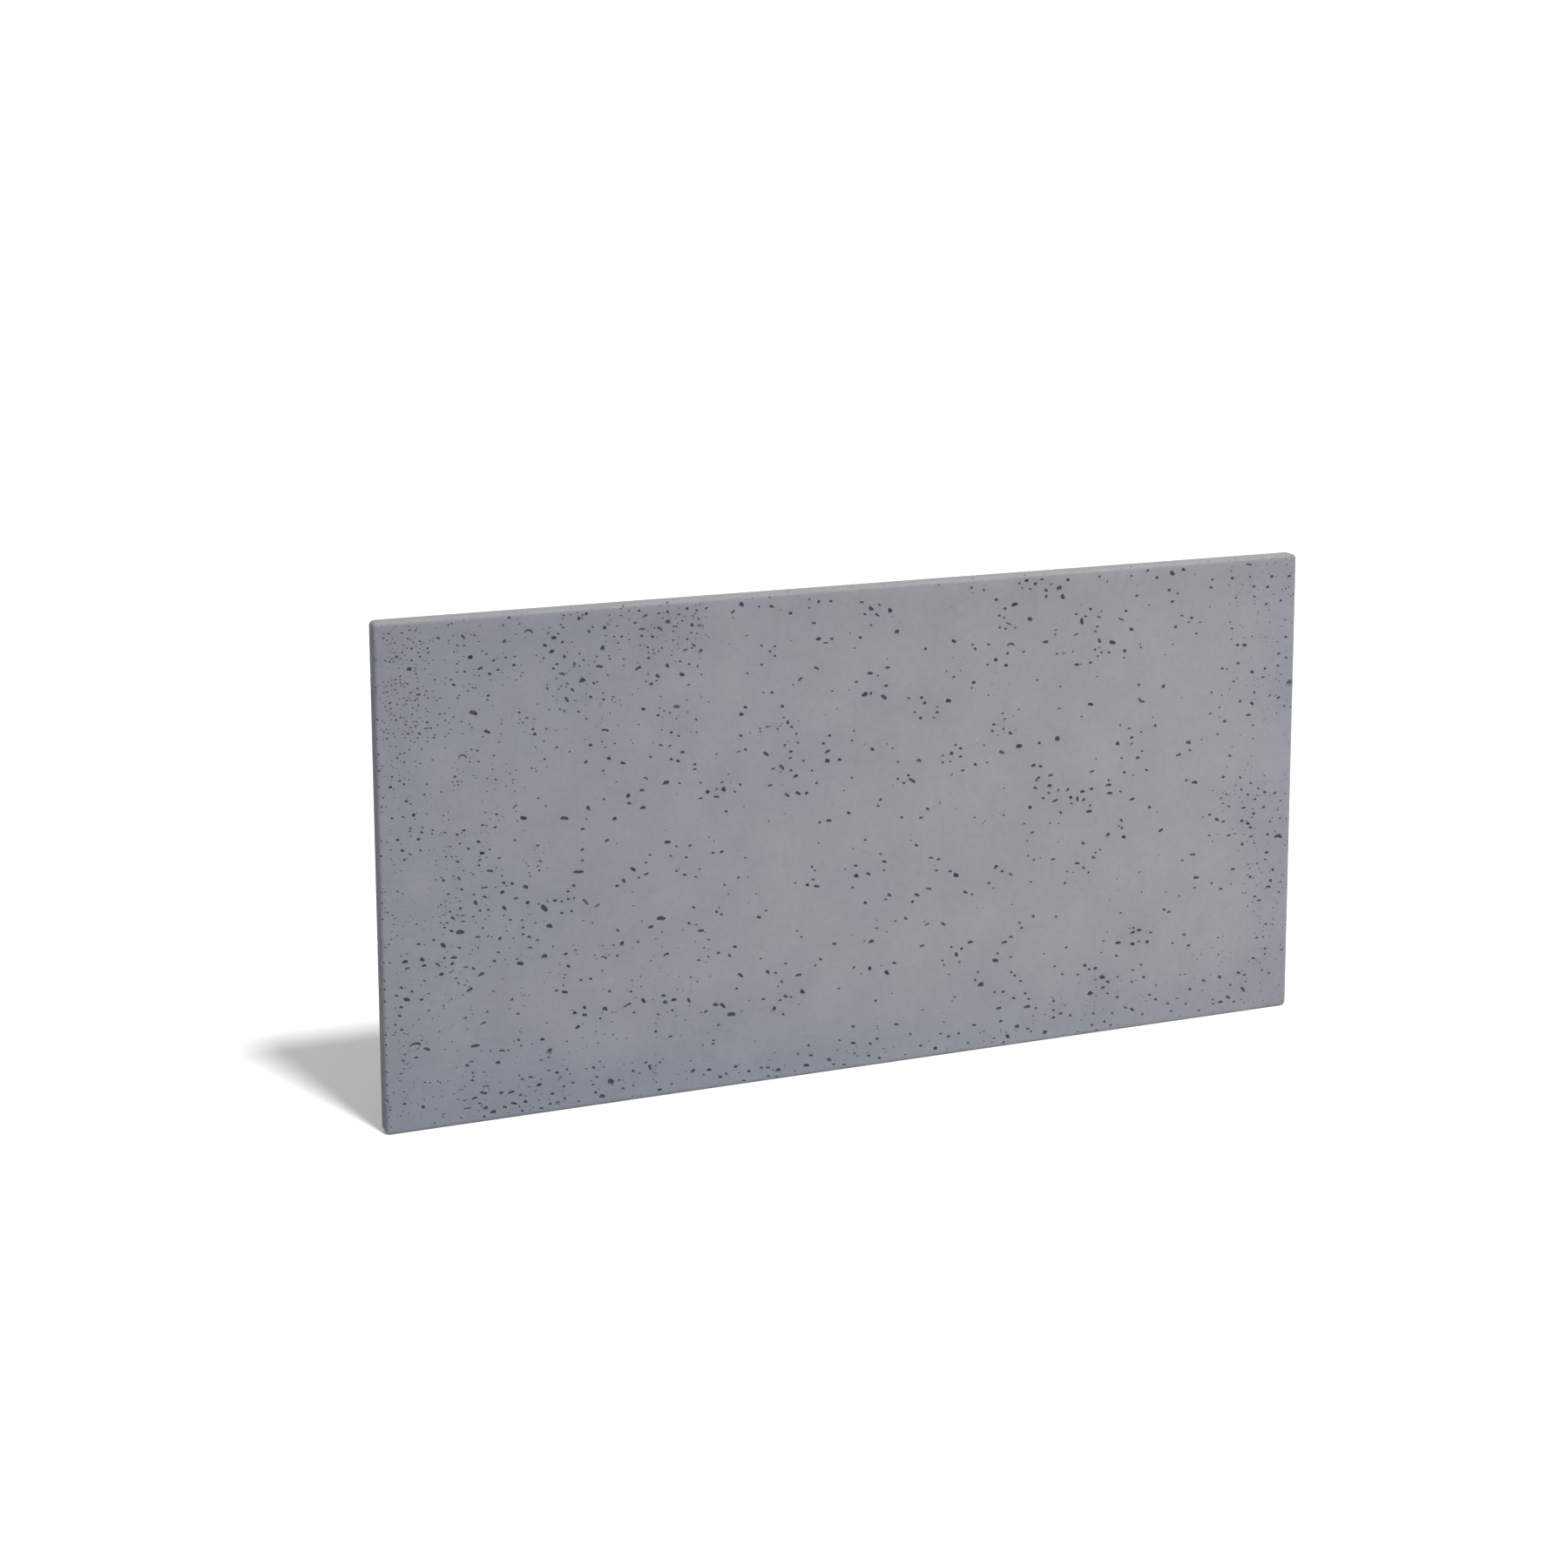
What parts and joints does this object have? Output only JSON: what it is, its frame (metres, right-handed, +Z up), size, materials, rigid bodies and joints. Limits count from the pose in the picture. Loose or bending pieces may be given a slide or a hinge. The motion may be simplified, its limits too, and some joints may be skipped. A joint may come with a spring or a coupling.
{
  "type": "architectural concrete wall panel",
  "caption": "Thin rectangular wall cladding panel of cast architectural concrete, with a face pitted by air voids, rounded front edges and a flat back that is glued to a wall.",
  "frame": {"origin": "middle of the panel's bounding box at its lowest level: under the middle of the long edge that it stands on", "axes": "+X along the long edge, +Y through the thickness from the pitted face to the back, +Z up; the pitted face looks towards -Y"},
  "size_m": [1.2, 0.02, 0.6],
  "materials": {
    "face_concrete": "matt cast face, impregnated, with air voids",
    "backing_concrete": "matt, struck off and floated",
    "glass_fibre": "coated glass-fibre roving"
  },
  "bodies": {
    "root": {"face_layer": "face_concrete", "backing_layer": "backing_concrete", "mesh_lengthwise_strands": "glass_fibre", "mesh_upright_strands": "glass_fibre"}
  },
  "joints": []
}
